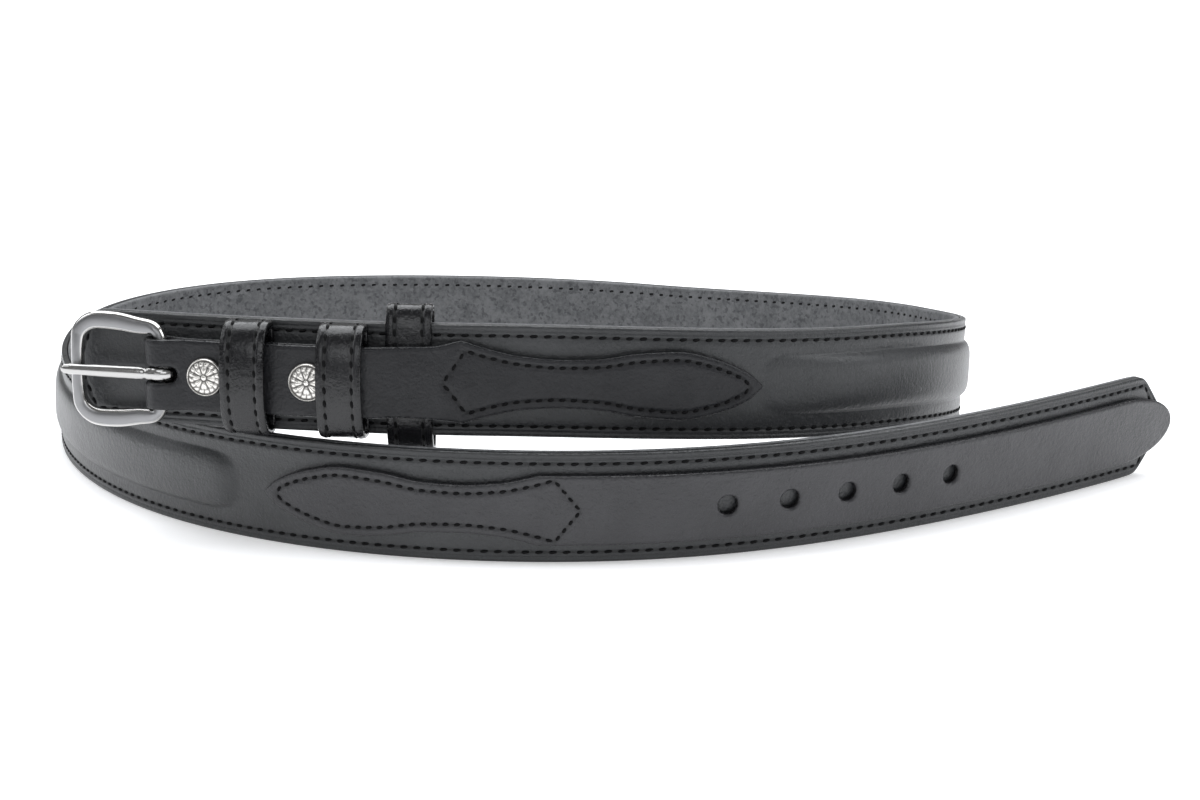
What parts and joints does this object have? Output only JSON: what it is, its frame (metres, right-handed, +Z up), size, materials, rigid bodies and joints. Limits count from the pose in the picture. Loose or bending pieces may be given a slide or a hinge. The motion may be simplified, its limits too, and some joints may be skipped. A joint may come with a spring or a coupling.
{
  "type": "ranger belt",
  "caption": "Leather ranger belt standing on edge in a loose coil, with narrow sewn-on billets, a single-prong buckle, screw studs and leather keepers.",
  "frame": {"origin": "under the middle of the coiled belt's footprint, on the surface it stands on", "axes": "+X along the coil's longest side, towards the tip end; +Y from the buckle side to the far run; +Z up"},
  "size_m": [0.4286, 0.3258, 0.083],
  "materials": {
    "outer_leather": "smooth black, semi-gloss, sewn with black thread",
    "lining_leather": "matte black suede-like lining, faintly mottled",
    "buckle_metal": "satin nickel with polished bevels",
    "stud_metal": "bright nickel with dark recesses"
  },
  "bodies": {
    "root": {"strap_outer": "outer_leather", "strap_lining": "lining_leather", "billet_buckle": "outer_leather", "billet_tip": "outer_leather", "stud_1": "stud_metal", "stud_2": "stud_metal", "keeper_near_buckle": "outer_leather", "keeper_middle": "outer_leather", "keeper_strap": "outer_leather"},
    "frame": {"buckle_frame": "buckle_metal"},
    "prong": {"buckle_prong": "buckle_metal"}
  },
  "joints": [
    {"name": "buckle_hinge", "type": "hinge", "parent": "root", "child": "frame", "pos_m": [-0.14759, -0.12759, 0.05821], "axis": [0, 0, 1], "range_deg": [0, 60]},
    {"name": "prong_hinge", "type": "hinge", "parent": "frame", "child": "prong", "pos_m": [-0.14759, -0.12759, 0.05821], "axis": [0, 0, 1], "range_deg": [0, 60]}
  ]
}
